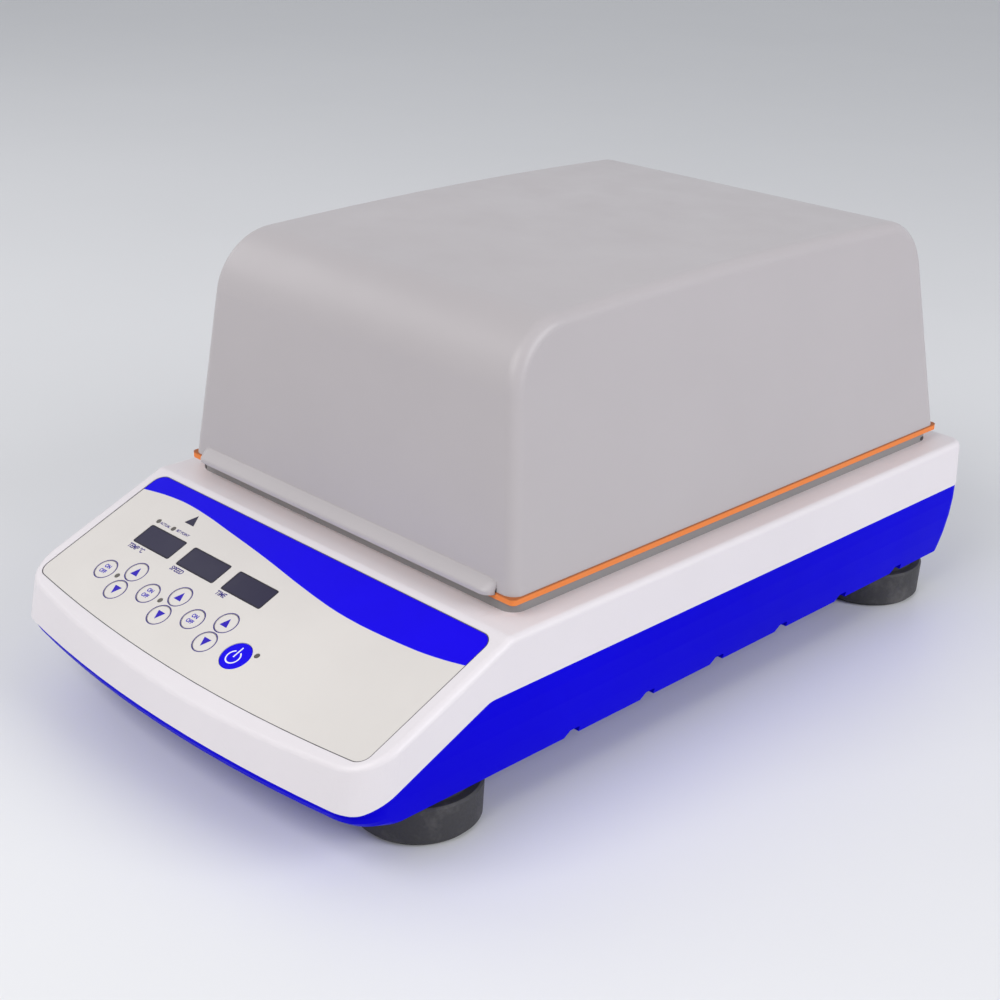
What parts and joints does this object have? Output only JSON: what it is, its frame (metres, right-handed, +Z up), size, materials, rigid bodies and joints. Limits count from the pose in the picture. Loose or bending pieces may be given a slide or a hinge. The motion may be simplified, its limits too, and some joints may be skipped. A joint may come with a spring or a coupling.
{
  "type": "incubating microplate shaker",
  "caption": "Bench shaker with a sloping keypad, a hinged insulated lid over a heated chamber, and a tray carried round a small orbit by an eccentric crank.",
  "frame": {"origin": "centre of the footprint on the bench surface under the feet", "axes": "+X to the right seen from the keypad, +Y from the keypad to the hinges, +Z up"},
  "size_m": [0.2496, 0.4271, 0.2074],
  "materials": {
    "belt_rubber": "matt",
    "black_plastic": "satin",
    "blue_moulding": "satin",
    "bright_steel": "ground",
    "cast_block": "cast",
    "circuit_board": "solder mask",
    "foot_rubber": "matt",
    "gasket_orange": "silicone foam",
    "heater_orange": "silicone",
    "key_film": "satin film",
    "lens_clear": "gloss",
    "lid_grey": "fine matte",
    "mat_rubber": "ribbed matt",
    "overlay_film": "satin film",
    "plate_steel": "zinc plated",
    "power_key_film": "satin film",
    "pulley_plastic": "natural",
    "screw_steel": "zinc plated",
    "tray_aluminium": "anodised",
    "tub_grey": "satin",
    "weight_brass": "machined",
    "white_moulding": "fine matte",
    "window_dark": "gloss"
  },
  "bodies": {
    "base": {"base_pan": "blue_moulding", "top_housing": "white_moulding", "control_overlay": "overlay_film", "indicator_lenses": "lens_clear", "heater_lamp_lens": "window_dark", "digit_modules": "black_plastic", "key_switches": "black_plastic", "display_board": "circuit_board", "small_screws": "screw_steel", "case_screws": "screw_steel", "chamber_tub": "tub_grey", "heater_mat": "heater_orange", "temperature_probe": "bright_steel", "drive_plate": "plate_steel", "bearing_block": "cast_block", "main_bearings": "bright_steel", "drive_belt": "belt_rubber", "drive_motor": "black_plastic", "idler_posts": "cast_block", "control_board": "circuit_board", "power_supply": "plate_steel", "power_inlet": "black_plastic", "hinge_pins": "bright_steel", "display_window_temperature": "window_dark", "display_window_speed": "window_dark", "display_window_time": "window_dark", "foot_front_left": "foot_rubber", "foot_front_right": "foot_rubber", "foot_rear_left": "foot_rubber", "foot_rear_right": "foot_rubber", "hinge_bracket_left": "cast_block", "hinge_bracket_right": "cast_block"},
    "lid": {"lid_shell": "lid_grey", "lid_gasket": "gasket_orange", "hinge_leaf_left": "cast_block", "hinge_leaf_right": "cast_block"},
    "crank": {"crankshaft": "bright_steel", "counterweight": "weight_brass", "crank_pulley": "pulley_plastic"},
    "tray": {"tray_platform": "tray_aluminium", "tray_rails": "tray_aluminium", "tray_mat": "mat_rubber", "tray_bosses": "cast_block", "tray_bearing": "bright_steel"},
    "motor_rotor": {"motor_pulley": "bright_steel"},
    "fuse_drawer": {"inlet_fuse_drawer": "black_plastic"},
    "idler_1": {"idler_crank_1": "bright_steel"},
    "idler_2": {"idler_crank_2": "bright_steel"},
    "idler_3": {"idler_crank_3": "bright_steel"},
    "idler_4": {"idler_crank_4": "bright_steel"},
    "key_temperature_on": {"key_temperature_on": "key_film"},
    "key_temperature_up": {"key_temperature_up": "key_film"},
    "key_temperature_down": {"key_temperature_down": "key_film"},
    "key_speed_on": {"key_speed_on": "key_film"},
    "key_speed_up": {"key_speed_up": "key_film"},
    "key_speed_down": {"key_speed_down": "key_film"},
    "key_time_on": {"key_time_on": "key_film"},
    "key_time_up": {"key_time_up": "key_film"},
    "key_time_down": {"key_time_down": "key_film"},
    "key_power": {"key_power": "power_key_film"}
  },
  "joints": [
    {"name": "lid_hinge", "type": "hinge", "parent": "base", "child": "lid", "pos_m": [0, 0.20805, 0.0925], "axis": [-1, 0, 0], "range_deg": [0, 95]},
    {"name": "crank_spin", "type": "hinge", "parent": "base", "child": "crank", "pos_m": [0, 0.04535, 0.05], "axis": [0, 0, 1], "continuous": true},
    {"name": "tray_orbit", "type": "hinge", "parent": "crank", "child": "tray", "pos_m": [0.0015, 0.04535, 0.072], "axis": [0, 0, 1], "continuous": true},
    {"name": "motor_spin", "type": "hinge", "parent": "base", "child": "motor_rotor", "pos_m": [0, -0.04265, 0.034], "axis": [0, 0, 1], "continuous": true},
    {"name": "fuse_drawer_slide", "type": "slide", "parent": "base", "child": "fuse_drawer", "axis": [0, 1, 0], "range_m": [0, 0.016]},
    {"name": "idler_1_spin", "type": "hinge", "parent": "base", "child": "idler_1", "pos_m": [-0.072, -0.05965, 0.05], "axis": [0, 0, 1], "continuous": true},
    {"name": "idler_2_spin", "type": "hinge", "parent": "base", "child": "idler_2", "pos_m": [-0.072, 0.15035, 0.05], "axis": [0, 0, 1], "continuous": true},
    {"name": "idler_3_spin", "type": "hinge", "parent": "base", "child": "idler_3", "pos_m": [0.072, -0.05965, 0.05], "axis": [0, 0, 1], "continuous": true},
    {"name": "idler_4_spin", "type": "hinge", "parent": "base", "child": "idler_4", "pos_m": [0.072, 0.15035, 0.05], "axis": [0, 0, 1], "continuous": true},
    {"name": "key_temperature_on_press", "type": "slide", "parent": "base", "child": "key_temperature_on", "axis": [0, 0.3875, -0.9219], "range_m": [0, 0.0005], "stiffness_N_per_m": 400},
    {"name": "key_temperature_up_press", "type": "slide", "parent": "base", "child": "key_temperature_up", "axis": [0, 0.3875, -0.9219], "range_m": [0, 0.0005], "stiffness_N_per_m": 400},
    {"name": "key_temperature_down_press", "type": "slide", "parent": "base", "child": "key_temperature_down", "axis": [0, 0.3875, -0.9219], "range_m": [0, 0.0005], "stiffness_N_per_m": 400},
    {"name": "key_speed_on_press", "type": "slide", "parent": "base", "child": "key_speed_on", "axis": [0, 0.3875, -0.9219], "range_m": [0, 0.0005], "stiffness_N_per_m": 400},
    {"name": "key_speed_up_press", "type": "slide", "parent": "base", "child": "key_speed_up", "axis": [0, 0.3875, -0.9219], "range_m": [0, 0.0005], "stiffness_N_per_m": 400},
    {"name": "key_speed_down_press", "type": "slide", "parent": "base", "child": "key_speed_down", "axis": [0, 0.3875, -0.9219], "range_m": [0, 0.0005], "stiffness_N_per_m": 400},
    {"name": "key_time_on_press", "type": "slide", "parent": "base", "child": "key_time_on", "axis": [0, 0.3875, -0.9219], "range_m": [0, 0.0005], "stiffness_N_per_m": 400},
    {"name": "key_time_up_press", "type": "slide", "parent": "base", "child": "key_time_up", "axis": [0, 0.3875, -0.9219], "range_m": [0, 0.0005], "stiffness_N_per_m": 400},
    {"name": "key_time_down_press", "type": "slide", "parent": "base", "child": "key_time_down", "axis": [0, 0.3875, -0.9219], "range_m": [0, 0.0005], "stiffness_N_per_m": 400},
    {"name": "key_power_press", "type": "slide", "parent": "base", "child": "key_power", "axis": [0, 0.3875, -0.9219], "range_m": [0, 0.0005], "stiffness_N_per_m": 400}
  ],
  "couplings": [
    {"joint": "tray_orbit", "follows": "crank_spin", "ratio": -1},
    {"joint": "motor_spin", "follows": "crank_spin", "ratio": 3.75},
    {"joint": "idler_1_spin", "follows": "crank_spin", "ratio": 1},
    {"joint": "idler_2_spin", "follows": "crank_spin", "ratio": 1},
    {"joint": "idler_3_spin", "follows": "crank_spin", "ratio": 1},
    {"joint": "idler_4_spin", "follows": "crank_spin", "ratio": 1}
  ]
}
